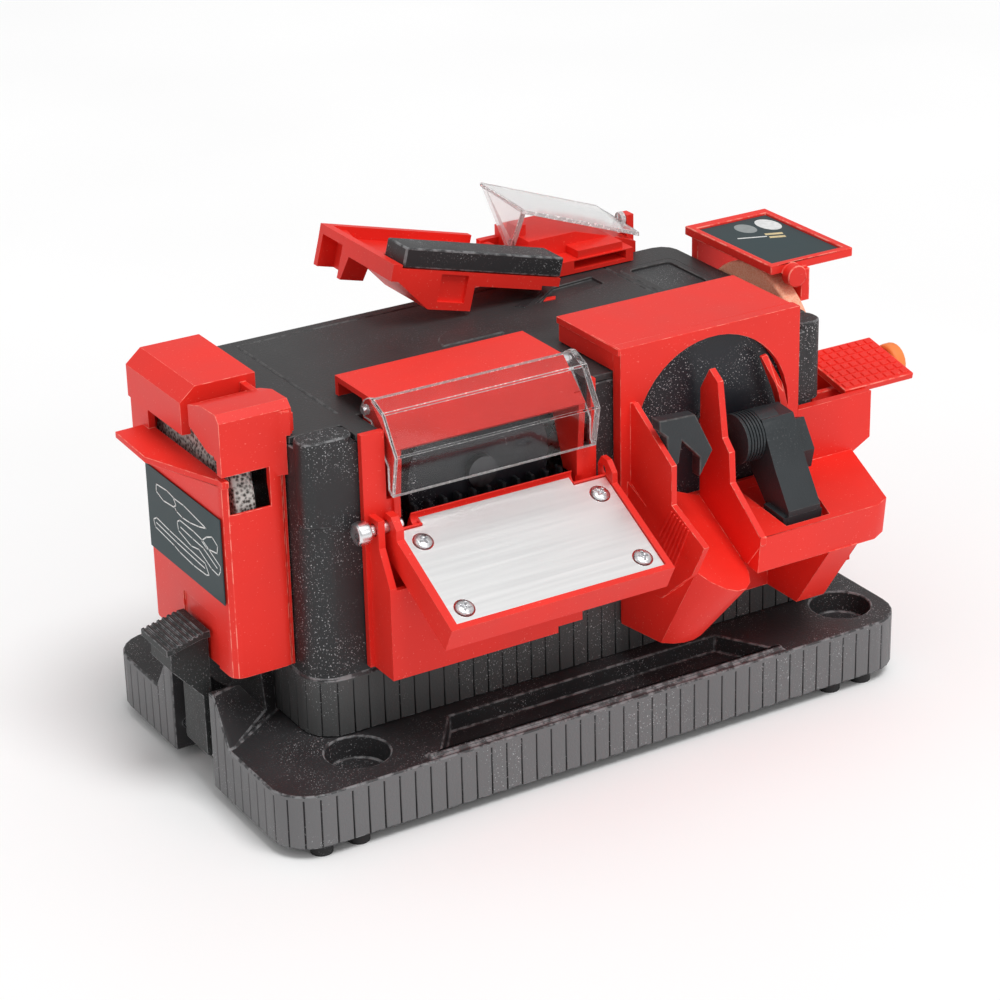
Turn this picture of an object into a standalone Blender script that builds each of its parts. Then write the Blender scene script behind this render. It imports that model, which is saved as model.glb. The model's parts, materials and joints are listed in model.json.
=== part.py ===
"""Multi-station drill bit sharpener: knife, chisel, drill and rear stations on one motor shaft.

Lengths below are millimetres from the base's front left bottom corner: x runs along the front to
the right, y runs to the back and z runs up. world() turns them into metres, with the origin on the
surface the feet stand on, under the middle of the whole machine.
"""
import math

import bmesh
import bpy
from mathutils import Matrix, Vector

MM = 0.001
GAP = 0.3                      # clearance between neighbouring pieces
MIDDLE_X = 164.75
MIDDLE_Y = 87.8
FOOT_DROP = 5.0                # feet below the base's lower edge

BASE_LENGTH = 310.0
BASE_DEPTH = 172.0
BASE_HEIGHT = 24.5
BASE_CORNER = 18.0
WALL = 3.0

HOUSING_LEFT = 34.2
HOUSING_RIGHT = 288.5
HOUSING_FRONT = 39.3
HOUSING_BACK = 159.8
SKIRT_TOP = 51.0
HOUSING_TOP = 153.0
COVER_TOP = 156.2
COLUMN_WIDTH = 23.3

SHAFT_Y = 96.0                 # the motor shaft runs along x here
SHAFT_Z = 124.5
SHAFT_RADIUS = 4.0
BORE = SHAFT_RADIUS + GAP
BEARING_RADIUS = 8.0

CHISEL_X = 118.0               # each front spindle crosses the shaft at these x
DRILL_X = 226.0
GEAR_TEETH = 14
GEAR_INNER = 12.0              # distances from the cone's tip
GEAR_OUTER = 20.0

LEVER_PIVOT = (6.0, 12.0)      # x and z of the release lever's pin
GUIDE_AXIS = (22.0, 120.0)     # y and z of the drill guide's barrel
VISOR_PIVOT = (51.7, 160.4)    # y and z of the front visor's pins
TRAY_PIVOT = (32.0, 117.0)     # y and z of the chisel tray's bolt
TRAY_TILT = 27.6
DRILL_TILT = 6.2
DRILL_FLOOR_SLOPE = 0.553      # the channel's floor rises towards the back
DRILL_FLOOR_LEAN = 0.41        # and falls towards the right
REAR_VISOR_PIVOT = (174.0, 168.0)
REST_CORNER = (213.0, 163.5)   # x and z of the rear rest's right lower corner, where it tilts from
REST_HINGE = (206.0, 163.0)
REST_TILT = 14.5
RIGHT_TRAY_PIVOT = (52.0, 119.5)

RED = (0.78, 0.045, 0.03)
BLACK = (0.035, 0.035, 0.038)
DARK_GREY = (0.06, 0.06, 0.062)
STEEL = (0.75, 0.75, 0.76)
SLATE = (0.045, 0.07, 0.075)


def world(point):
    x, y, z = point
    return Vector(((x - MIDDLE_X) * MM, (y - MIDDLE_Y) * MM, (z + FOOT_DROP) * MM))


def material(name, colour, roughness=0.5, metallic=0.0, transmission=0.0):
    found = bpy.data.materials.get(name)
    if found:
        return found
    made = bpy.data.materials.new(name)
    made.use_nodes = True
    shader = made.node_tree.nodes["Principled BSDF"]
    shader.inputs["Base Color"].default_value = (*colour, 1.0)
    shader.inputs["Roughness"].default_value = roughness
    shader.inputs["Metallic"].default_value = metallic
    shader.inputs["Transmission Weight"].default_value = transmission
    return made


def red_plastic():
    return material("red_plastic", RED, 0.42)


def black_plastic():
    return material("black_plastic", BLACK, 0.6)


def grey_plastic():
    return material("grey_plastic", DARK_GREY, 0.55)


def rubber():
    return material("rubber", BLACK, 0.85)


def steel():
    return material("steel", STEEL, 0.3, 1.0)


def copper():
    return material("copper", (0.72, 0.35, 0.2), 0.4, 1.0)


def grit():
    return material("grit", (0.35, 0.35, 0.36), 0.8, 0.4)


def pink_stone():
    return material("pink_stone", (0.95, 0.42, 0.28), 0.9)


def clear_plastic():
    return material("clear_plastic", (0.92, 0.95, 0.96), 0.06, 0.0, 1.0)


def slate_label():
    return material("slate_label", SLATE, 0.4)


def orange_plastic():
    return material("orange_plastic", (0.85, 0.25, 0.06), 0.45)


# ---------------------------------------------------------------- shapes

def to_space(axis, along, first, second):
    """A point from its place along an axis and its two coordinates across it, in x, y, z order."""
    if axis == "x":
        return (along, first, second)
    if axis == "y":
        return (first, along, second)
    return (first, second, along)


def solid(rings, capped=True):
    """One closed body through rings of points; not capped, the last ring joins the first."""
    bm = bmesh.new()
    rows = [[bm.verts.new(world(point)) for point in ring] for ring in rings]
    count = len(rows[0])
    pairs = list(zip(rows, rows[1:]))
    if not capped:
        pairs.append((rows[-1], rows[0]))
    for low, high in pairs:
        for i in range(count):
            j = (i + 1) % count
            bm.faces.new((low[i], low[j], high[j], high[i]))
    if capped:
        bm.faces.new(rows[0])
        bm.faces.new(rows[-1])
    bmesh.ops.recalc_face_normals(bm, faces=bm.faces)
    mesh = bpy.data.meshes.new("shape")
    bm.to_mesh(mesh)
    bm.free()
    shape = bpy.data.objects.new("shape", mesh)
    bpy.context.collection.objects.link(shape)
    return shape


def prism(axis, low, high, outline):
    return solid([[to_space(axis, along, *point) for point in outline] for along in (low, high)])


def box(low, high):
    x0, y0, z0 = low
    x1, y1, z1 = high
    return prism("z", z0, z1, [(x0, y0), (x1, y0), (x1, y1), (x0, y1)])


def arc(centre, radius, start, end, steps):
    """Points on an arc, angles in degrees."""
    points = []
    for i in range(steps + 1):
        angle = math.radians(start + (end - start) * i / steps)
        points.append((centre[0] + radius * math.cos(angle), centre[1] + radius * math.sin(angle)))
    return points


def rounded(x0, x1, y0, y1, radius, steps=4):
    """A rectangle's outline with round corners."""
    outline = arc((x1 - radius, y1 - radius), radius, 0, 90, steps)
    outline += arc((x0 + radius, y1 - radius), radius, 90, 180, steps)
    outline += arc((x0 + radius, y0 + radius), radius, 180, 270, steps)
    outline += arc((x1 - radius, y0 + radius), radius, 270, 360, steps)
    return outline


def turned(axis, centre, profile, sides=32, bored=False):
    """A profile of (radius, place along the axis) turned round an axis through centre."""
    across = [value for name, value in zip("xyz", centre) if name != axis]
    rings = []
    for radius, along in profile:
        ring = []
        for i in range(sides):
            angle = 2 * math.pi * (i + 0.5) / sides
            first = across[0] + radius * math.cos(angle)
            second = across[1] + radius * math.sin(angle)
            ring.append(to_space(axis, along, first, second))
        rings.append(ring)
    return solid(rings, capped=not bored)


def rod(axis, centre, radius, low, high, sides=32):
    return turned(axis, centre, [(radius, low), (radius, high)], sides)


def tube(axis, centre, inner, outer, low, high, sides=32):
    profile = [(inner, low), (outer, low), (outer, high), (inner, high)]
    return turned(axis, centre, profile, sides, bored=True)


def combine(target, tool, operation):
    """Join or cut two shapes; the tool is used up."""
    modifier = target.modifiers.new("combine", "BOOLEAN")
    modifier.operation = operation
    modifier.solver = "MANIFOLD"        # the exact solver drops faces where these thin walls meet
    modifier.object = tool
    bpy.context.view_layer.update()
    depsgraph = bpy.context.evaluated_depsgraph_get()
    mesh = bpy.data.meshes.new_from_object(target.evaluated_get(depsgraph))
    target.modifiers.clear()
    target.data = mesh
    bpy.data.objects.remove(tool)
    return target


def join(target, *tools):
    for tool in tools:
        combine(target, tool, "UNION")
    return target


def cut(target, *tools):
    for tool in tools:
        combine(target, tool, "DIFFERENCE")
    return target


def tilt(shape, axis, degrees, centre):
    """Turn a shape about an axis through a point."""
    pivot = world(centre)
    turn = Matrix.Rotation(math.radians(degrees), 4, axis.upper())
    shape.data.transform(Matrix.Translation(pivot) @ turn @ Matrix.Translation(-pivot))
    return shape


def node(name, shape, finish, origin=None, smooth=30):
    """Name a finished shape, give it its material and put its origin on its joint's axis."""
    shape.name = name
    shape.data.name = name
    shape.data.materials.clear()
    shape.data.materials.append(finish)
    if origin is not None:
        place = world(origin)
        shape.data.transform(Matrix.Translation(-place))
        shape.location = place
    shape.data.shade_smooth()
    shape.data.set_sharp_from_angle(angle=math.radians(smooth))
    return shape


# ---------------------------------------------------------------- base

MOUNT_HOLES = ((44.0, 24.0), (290.0, 24.0))
NOTCH_FRONT = 70.0
NOTCH_BACK = 106.5
NOTCH_DEPTH = 26.0


def foot_shape(corner, radius, link, low, high, link_low):
    """Two studs joined by a bar above the base's lower edge."""
    (x0, y0), (x1, y1) = corner
    shape = rod("z", (x0, y0, 0), radius, low, high, 16)
    bar = box((x0, y0 - link / 2, link_low), (x1, y0 + link / 2, high - 0.2))
    return join(shape, rod("z", (x1, y1, 0), radius, low, high, 16), bar)


def foot_corners():
    front = ((17.0, 7.0), (34.0, 7.0))
    right = ((272.0, 7.0), (289.0, 7.0))
    corners = {"foot_front_left": front, "foot_front_right": right}
    for side, pair in (("left", front), ("right", right)):
        corners["foot_rear_" + side] = tuple((x, BASE_DEPTH - y) for x, y in pair)
    return corners


def raised_end():
    """The block at the base's left end, with its ends sloping down to the deck."""
    low = [(0, 52), (33, 74.5), (33, 102), (0, 124.5)]
    high = [(0, 66), (33, 75.5), (33, 101), (0, 110.5)]
    ring = [[(x, y, BASE_HEIGHT - 2) for x, y in low], [(x, y, 44.5) for x, y in high]]
    return solid(ring)


def base_plate():
    shape = prism("z", 0, BASE_HEIGHT, rounded(0, BASE_LENGTH, 0, BASE_DEPTH, BASE_CORNER, 6))
    join(shape, raised_end())
    join(shape, prism("x", 66, 243, [(0.4, 15), (0.4, 22), (3, 26), (5.5, 26), (7.5, 15)]))
    cut(shape, box((-1, NOTCH_FRONT, -1), (NOTCH_DEPTH, NOTCH_BACK, 60)))
    cut(shape, prism("z", 16.5, 30, [(72, 4), (241, 4), (226, 30), (91, 30)]))
    cut(shape, prism("z", -1, 13.5, rounded(36, 276, 8, 38, 4, 2)))
    cut(shape, prism("z", -1, 21.5, rounded(56, 276, 42, 130, 4, 2)))
    cut(shape, prism("z", -1, 21.5, rounded(56, 276, 134, 164, 4, 2)))
    for x, y in MOUNT_HOLES:
        cut(shape, turned("z", (x, y, 0), [(13, 14.5), (14, 30)], 24))
        cut(shape, rod("z", (x, y, 0), 3.25, -1, 20, 16))
    for corner in foot_corners().values():
        cut(shape, foot_shape(corner, 5.1, 4.6, -1, 3, 0.3))
    cut(shape, rod("y", (LEVER_PIVOT[0], 0, LEVER_PIVOT[1]), 1.9, 64, 112, 16))
    return node("base_plate", shape, black_plastic())


def feet():
    for name, corner in foot_corners().items():
        node(name, foot_shape(corner, 4.8, 4.0, -FOOT_DROP, 2.7, 0.6), rubber())


def release_lever():
    x, z = LEVER_PIVOT
    outline = [(-12.8, 64), (-12.8, 54.6), (0.6, 39.6), (0.6, z), (4.4, z - 2), (6, z + 4), (4.4, 24),
               (4.4, 68)]
    shape = prism("y", 76, 96, outline)
    pad = [(-15.5, 63), (-15.5, 66), (0.5, 70), (4.4, 70), (4.4, 67), (0.5, 67)]
    join(shape, prism("y", 73.5, 98.5, pad))
    join(shape, rod("y", (x, 0, z), 4, 76, 100, 20))
    cut(shape, rod("y", (x, 0, z), 1.9, 70, 106, 16))
    return node("release_lever", shape, grey_plastic(), (x, 86, z))


def lever_pin():
    x, z = LEVER_PIVOT
    return node("lever_pin", rod("y", (x, 0, z), 1.6, 65, 111, 16), steel())


def lever_spring(turns=3, steps=12, coil=3.4, wire=0.5, pitch=1.5):
    """A small torsion spring round the lever's pin."""
    x, z = LEVER_PIVOT
    rings = []
    for i in range(turns * steps + 1):
        angle = 2 * math.pi * i / steps
        along = 70.35 + wire + pitch * i / steps
        ring = []
        for k in range(6):
            round_wire = 2 * math.pi * k / 6
            radius = coil + wire * math.cos(round_wire)
            ring.append((x + radius * math.cos(angle), along + wire * math.sin(round_wire),
                         z + radius * math.sin(angle)))
        rings.append(ring)
    return node("lever_spring", solid(rings), steel())


# ---------------------------------------------------------------- housing and drive

def main_housing():
    shape = prism("z", BASE_HEIGHT + GAP, SKIRT_TOP,
                  rounded(33.4, 289.5, 38.0, 161.0, 14, 5))
    outline = rounded(HOUSING_LEFT, HOUSING_RIGHT, HOUSING_FRONT, HOUSING_BACK, 12, 5)
    join(shape, prism("z", 40, HOUSING_TOP, outline))
    inner = rounded(HOUSING_LEFT + WALL, HOUSING_RIGHT - WALL,
                    HOUSING_FRONT + WALL, HOUSING_BACK - WALL, 9, 3)
    cut(shape, prism("z", BASE_HEIGHT + WALL, 170, inner))
    left = rounded(HOUSING_LEFT, HOUSING_LEFT + COLUMN_WIDTH, HOUSING_FRONT, 52, 5)
    right = rounded(275.8, HOUSING_RIGHT, HOUSING_FRONT, 52, 5)
    join(shape, prism("z", 120, 156.6, left), prism("z", 120, 156.6, right))
    cut(shape, box((70.6, 30, 84), (161.4, 50, 160)))
    cut(shape, box((68.4, 30, 127), (166.6, 50, 160)))
    cut(shape, rod("y", (DRILL_X, 0, SHAFT_Z), 43, 30, 50, 40))
    cut(shape, rod("x", (0, SHAFT_Y, SHAFT_Z), BEARING_RADIUS + GAP, 20, 45))
    cut(shape, rod("x", (0, SHAFT_Y, SHAFT_Z), BEARING_RADIUS + GAP, 280, 300))
    cut(shape, rod("y", (DRILL_X, 0, SHAFT_Z), BEARING_RADIUS + GAP, 150, 165))
    cut(shape, box((59.7, 150, 69.7), (90.3, 170, 92.3)))
    cut(shape, rod("y", (115, 0, 60), 6.3, 150, 170, 20))
    return node("main_housing", shape, black_plastic())


def top_cover():
    outline = rounded(34.5, 288.2, 39.6, 159.5, 8, 3)
    shape = prism("z", HOUSING_TOP + GAP, COVER_TOP, outline)
    cut(shape, box((30, 30, 150), (HOUSING_LEFT + COLUMN_WIDTH + GAP, 52.3, 160)))
    cut(shape, box((275.5, 30, 150), (300, 52.3, 160)))
    cut(shape, box((68.4, 30, 150), (166.6, 58.4, 160)))
    cut(shape, box((183, 30, 150), (269, 46, 160)))
    cut(shape, prism("z", 154.8, 160, [(196, 127), (213, 140), (235, 142), (235, 132), (213, 126)]))
    cut(shape, prism("z", 155.0, 160, rounded(253, 275, 107, 139, 3, 2)))
    return node("top_cover", shape, grey_plastic())


def bearing(name, axis, centre, low, high):
    return node(name, tube(axis, centre, BORE, BEARING_RADIUS, low, high, 24), steel())


def bearing_plate(name, y, holes):
    shape = box((HOUSING_LEFT + WALL + GAP, y, 28.1), (HOUSING_RIGHT - WALL - GAP, y + 4, HOUSING_TOP - GAP))
    for x in holes:
        cut(shape, rod("y", (x, 0, SHAFT_Z), BEARING_RADIUS + GAP, y - 5, y + 9, 24))
    return node(name, shape, steel())


def motor():
    centre = (0, SHAFT_Y, SHAFT_Z)
    stator = join(box((155, 76, 28.1), (185, 116, 110)), rod("x", centre, 26, 148, 192))
    cut(stator, rod("x", centre, 17.6, 140, 200))
    node("motor_stator", stator, copper())
    rotor = [(SHAFT_RADIUS, 9), (SHAFT_RADIUS, 21.8), (7, 21.8), (7, 30), (SHAFT_RADIUS, 30),
             (SHAFT_RADIUS, 150), (17, 150), (17, 190), (SHAFT_RADIUS, 190), (SHAFT_RADIUS, 304.5)]
    node("motor_shaft", turned("x", centre, rotor, 24), steel(), (150, SHAFT_Y, SHAFT_Z))


def bevel_gear(name, tip, axis, side, shift, hub):
    """A 45 degree bevel gear; tip is where the two axes cross and side is its direction along axis."""
    turn = math.radians(45)
    steps = GEAR_TEETH * 4
    heights = (2.2, 2.2, -2.8, -2.8)
    rings = []
    for reach in (GEAR_INNER, GEAR_OUTER):
        ring = []
        for i in range(steps):
            angle = 2 * math.pi * (i - 0.5 + shift * 2) / steps
            cone = turn + math.radians(heights[i % 4])
            along = side * reach * math.cos(cone)
            ring.append((along, reach * math.sin(cone), angle))
        rings.append(ring)
    back = GEAR_OUTER * math.cos(turn) + 1.5
    circle = [2 * math.pi * (i - 0.5 + shift * 2) / steps for i in range(steps)]
    rings.append([(side * back, hub + 4, angle) for angle in circle])
    rings.append([(side * (back + 3.5), hub, angle) for angle in circle])
    rings.append([(side * (back + 3.5), BORE, angle) for angle in circle])
    rings.append([(side * (GEAR_INNER * math.cos(turn) + 0.5), BORE, angle) for angle in circle])
    placed = []
    for ring in rings:
        points = []
        for along, radius, angle in ring:
            first, second = radius * math.cos(angle), radius * math.sin(angle)
            if axis == "x":
                points.append((tip[0] + along, tip[1] + first, tip[2] + second))
            else:
                points.append((tip[0] + first, tip[1] + along, tip[2] + second))
        placed.append(points)
    return node(name, solid(placed, capped=False), steel(), tip, 20)


def drive_train():
    bearing("bearing_left", "x", (0, SHAFT_Y, SHAFT_Z), 34.5, 39.5)
    bearing("bearing_right", "x", (0, SHAFT_Y, SHAFT_Z), 283.3, 288.3)
    bearing_plate("bearing_plate", 60, (CHISEL_X, DRILL_X))
    for name, x in (("chisel", CHISEL_X), ("drill", DRILL_X)):
        tip = (x, SHAFT_Y, SHAFT_Z)
        bevel_gear("shaft_gear_" + name, tip, "x", 1, 0.0, 8)
        bevel_gear(name + "_spindle_gear", tip, "y", -1, 1.0, 8)
        bearing(name + "_bearing", "y", (x, 0, SHAFT_Z), 59, 65)
    bevel_gear("rear_spindle_gear", (DRILL_X, SHAFT_Y, SHAFT_Z), "y", 1, 1.0, 8)
    bearing("rear_bearing", "y", (DRILL_X, 0, SHAFT_Z), 155, 160)
    spindles = {"chisel_spindle": (CHISEL_X, 89, 46.7, 43.5), "drill_spindle": (DRILL_X, 89, 36.7, 34.2),
                "rear_spindle": (DRILL_X, 103, 175.3, 178.5)}
    for name, (x, start, shoulder, end) in spindles.items():
        profile = [(SHAFT_RADIUS, start), (SHAFT_RADIUS, shoulder), (7, shoulder), (7, end)]
        node(name, turned("y", (x, 0, SHAFT_Z), profile, 24), steel(), (x, SHAFT_Y, SHAFT_Z))


def hex_nut(name, axis, centre, low, high, radius=7.0):
    shape = turned(axis, centre, [(radius, low), (radius, high)], 6)
    cut(shape, rod(axis, centre, BORE, low - 3, high + 3, 24))
    return node(name, shape, steel())


def wheels():
    shaft = (0, SHAFT_Y, SHAFT_Z)
    side = [(BORE, 12), (37.5, 12), (38.5, 13), (38.5, 20.5), (37.5, 21.5), (BORE, 21.5)]
    node("left_wheel", turned("x", shaft, side, 48, True), grit(), (12, SHAFT_Y, SHAFT_Z))
    side = [(BORE, 290), (39, 290), (40, 291), (40, 298), (39, 299), (BORE, 299)]
    node("right_wheel", turned("x", shaft, side, 48, True), pink_stone(), (290, SHAFT_Y, SHAFT_Z))
    hex_nut("left_nut", "x", shaft, 8.8, 11.7)
    hex_nut("right_nut", "x", shaft, 299.3, 304)
    discs = {"chisel_disc": (CHISEL_X, 47, 55, 34), "drill_disc": (DRILL_X, 37, 44, 40.2),
             "rear_disc": (DRILL_X, 168, 175, 22)}
    for name, (x, low, high, radius) in discs.items():
        shape = tube("y", (x, 0, SHAFT_Z), BORE, radius, low, high, 48)
        node(name, shape, grit(), (x, SHAFT_Y, SHAFT_Z))


# ---------------------------------------------------------------- left station

def knife_module():
    outer = rounded(5, 33.9, 54, 131, 5, 3)
    shape = prism("z", 55, 142, outer)
    front = [(5, 60), (5, 54), (9, 54), (31, 54), (35.5, 52.6), (36, 56), (33.9, 60)]
    join(shape, prism("z", 140, 167, front))
    join(shape, box((30.9, 55.6, 54.5), (33.7, 138.6, 169)))
    join(shape, box((33, 55.6, 157), (38.5, 60, 165)))
    hood = [(54, 152), (54, 168), (57, 171), (70, 170.5), (82, 167), (82, 158), (66, 152)]
    join(shape, prism("x", 5, 37, hood))
    roof = [(4, 152), (4, 166), (11, 172), (38, 172), (38, 157), (33.9, 157), (33.9, 150)]
    join(shape, prism("y", 87, 139, roof))
    join(shape, box((5, 122, 130), (33.9, 139, 160)))
    rest = [(-8, 127), (-9, 96), (7, 53.4), (12, 57), (12, 128)]
    join(shape, prism("z", 140, 142.6, rest))
    cut(shape, prism("z", 58, 139, rounded(8, 30.8, 57, 128, 3, 2)))
    cut(shape, rod("x", (0, SHAFT_Y, SHAFT_Z), 41, 8, 30.8, 40))
    cut(shape, box((8, 57, 136), (30.8, 119, 155)))
    cut(shape, box((-1, 58, 143), (9, 121, 151)))
    cut(shape, box((8, 48, 128), (26, 60, 145)))
    cut(shape, box((0, 48, 143), (26, 58, 145)))
    cut(shape, box((10, 60, 150), (30.8, 80, 168)))
    cut(shape, box((9, 90, 150), (30.8, 136, 169)))
    cut(shape, rod("x", (0, SHAFT_Y, SHAFT_Z), 38, 25, 50, 40))
    cut(shape, box((2, 68, 50), (5.8, 99, 78)))
    cut(shape, box((8, 60, 50), (30.8, 125, 60)))
    cut(shape, box((33.9, 50, 100), (60, 145, 156.7)))
    return node("knife_module", shape, red_plastic())


def knife_label():
    shape = prism("x", 4.2, 4.7, [(57, 88), (127, 88), (127, 126), (57, 126)])
    return node("knife_label", shape, slate_label())


# ---------------------------------------------------------------- chisel station

TRAY_LEFT = 66.0
TRAY_RIGHT = 171.5
PLATE_LEFT = 70.0
PLATE_RIGHT = 168.5
PLATE_BACK = (29.0, 114.5)     # y and z of the steel plate's back edge
PLATE_DEPTH = 50.0
TAB_LEFT = 81.0                # the plate's middle reaches further back than its corners
TAB_RIGHT = 153.0
TAB_DEPTH = 4.5


def tray_shape(x0, x1, near, far, low, high):
    """A box on the tray's slope: near and far are distances down the slope from the plate's back."""
    y, z = PLATE_BACK
    shape = box((x0, y - far, z + low), (x1, y - near, z + high))
    return tilt(shape, "x", TRAY_TILT, (0, y, z))


def chisel_housing():
    hood = [(81, 156.8), (81, 165.2), (50, 165.2), (32, 149), (34, 147.4), (51, 162.7), (78.5, 162.7),
            (78.5, 156.8)]
    shape = prism("x", 71, 161, hood)
    cheek = [(32.4, 148.9), (50.2, 164.8), (58, 164.8), (58, 150), (45, 116), (34.2, 116), (34.2, 130)]
    join(shape, prism("x", 71.1, 74, cheek), prism("x", 158, 160.9, cheek))
    flange = box((58, 35.7, 54), (168.5, 38.7, 157))
    cut(flange, box((74, 20, 100), (158, 50, 170)))
    cut(flange, box((70, 20, 153), (162, 50, 170)))
    cut(flange, box((68.4, 20, 127), (71, 50, 170)), box((161, 20, 127), (166.6, 50, 170)))
    join(shape, flange)
    side = [(20, 54), (38.7, 54), (38.7, 122), (28, 122), (28, 110), (20, 95)]
    join(shape, prism("x", 60, 63, side))
    join(shape, prism("x", 148, 151, [(20, 58), (38.7, 58), (38.7, 104), (20, 94)]))
    join(shape, box((60, 20, 54), (151, 22.6, 94)))
    join(shape, box((60, 20, 54), (151, 38.7, 56.6)))
    cut(shape, box((139, 10, 50), (160, 35, 57)))
    cut(shape, rod("x", (0, *TRAY_PIVOT), 2.8, 50, 75, 16))
    cut(shape, rod("x", (0, *VISOR_PIVOT), 1.9, 60, 180, 16))
    return node("chisel_housing", shape, red_plastic())


def chisel_tray():
    shape = tray_shape(TRAY_LEFT, TRAY_RIGHT, -2.5, 53, -11, 1.4)
    join(shape, tray_shape(78.5, 155.5, -7, 5, -11, 1.4))
    lug = [(24, 112), (24, 118), (28, 122.5), (32.5, 123), (35.2, 119), (35.2, 114), (33, 106), (26, 104)]
    join(shape, prism("x", TRAY_LEFT, PLATE_LEFT - 0.5, lug))
    join(shape, prism("x", PLATE_RIGHT + 0.5, TRAY_RIGHT, lug))
    cut(shape, tray_shape(PLATE_LEFT - GAP, PLATE_RIGHT + GAP, -GAP, PLATE_DEPTH + GAP, -1.3, 5))
    cut(shape, tray_shape(TRAY_LEFT + 2.5, TRAY_RIGHT - 2.5, 1, 50.5, -14, -3.5))
    cut(shape, tray_shape(TAB_LEFT - GAP, TAB_RIGHT + GAP, -TAB_DEPTH - GAP, 5, -1.3, 5))
    cut(shape, box((50, 35.2, 95), (77.5, 50, 130)), box((156.5, 35.2, 95), (180, 50, 130)))
    for x, reach in plate_screw_places():
        cut(shape, slope_rod(x, reach, 1.6, -8, 3))
    cut(shape, rod("x", (0, *TRAY_PIVOT), 2.8, 60, 180, 16))
    return node("chisel_tray", shape, red_plastic(), (120, *TRAY_PIVOT))


def plate_screw_places():
    return ((77, 7.5), (161.5, 7.5), (77, 43.5), (161.5, 43.5))


def slope_rod(x, reach, radius, low, high, sides=16):
    y, z = PLATE_BACK
    return tilt(rod("z", (x, y - reach, 0), radius, z + low, z + high, sides), "x", TRAY_TILT, (0, y, z))


def steel_plate():
    shape = tray_shape(PLATE_LEFT, PLATE_RIGHT, 0, PLATE_DEPTH, -1.0, 0.5)
    join(shape, tray_shape(TAB_LEFT, TAB_RIGHT, -TAB_DEPTH, 5, -1.0, 0.5))
    for x, reach in plate_screw_places():
        cut(shape, slope_rod(x, reach, 4.5, -3, 3, 20))
    return node("steel_plate", shape, steel(), (120, *TRAY_PIVOT))


def plate_screws():
    for number, (x, reach) in enumerate(plate_screw_places(), 1):
        head = join(slope_rod(x, reach, 3.9, -1.1, 1.9, 20), slope_rod(x, reach, 1.3, -3.2, 1.5))
        node("plate_screw_%d" % number, head, steel(), (120, *TRAY_PIVOT))


def tray_bolt():
    head = [(4.5, 51.5), (4.9, 52.5), (4.9, 56), (4.5, 57.5), (2.4, 57.6), (2.4, 73)]
    node("tray_bolt", turned("x", (0, *TRAY_PIVOT), head, 20), steel())


def chisel_visor():
    outline = [(47, 166.8), (38, 163.2), (28, 147), (31.5, 129)]
    inner = [(33.4, 129.6), (30.1, 147), (39.2, 161.4), (47.6, 164.9)]
    panel = prism("x", 69, 166, outline + inner)
    end = outline + [(35, 131), (35, 141), (48, 156.4), (53.5, 156.4), (55.8, 160.4), (53.5, 164), (50, 166)]
    join(panel, prism("x", 69, 70.7, end), prism("x", 164.3, 166, end))
    cut(panel, rod("x", (0, *VISOR_PIVOT), 1.9, 60, 180, 16))
    node("chisel_visor", panel, clear_plastic(), (118, *VISOR_PIVOT))
    node("visor_pin_left", rod("x", (0, *VISOR_PIVOT), 1.6, 67.5, 73.7, 16), steel())
    profile = [(1.6, 158.3), (1.6, 161.3), (3, 161.3), (3, 164), (1.6, 164), (1.6, 167)]
    node("visor_pin_right", turned("x", (0, *VISOR_PIVOT), profile, 16), steel())


# ---------------------------------------------------------------- drill station

def drill_slope(outline, low, high):
    """A prism standing on the drill tray's slope, from an outline in x and y."""
    return tilt(prism("z", 94.3 + low, 94.3 + high, outline), "x", DRILL_TILT, (0, 33, 94.3))


def channel_floor(x, y):
    return 72.7 + DRILL_FLOOR_SLOPE * (y + 3.3) + DRILL_FLOOR_LEAN * (219 - x)


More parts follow.
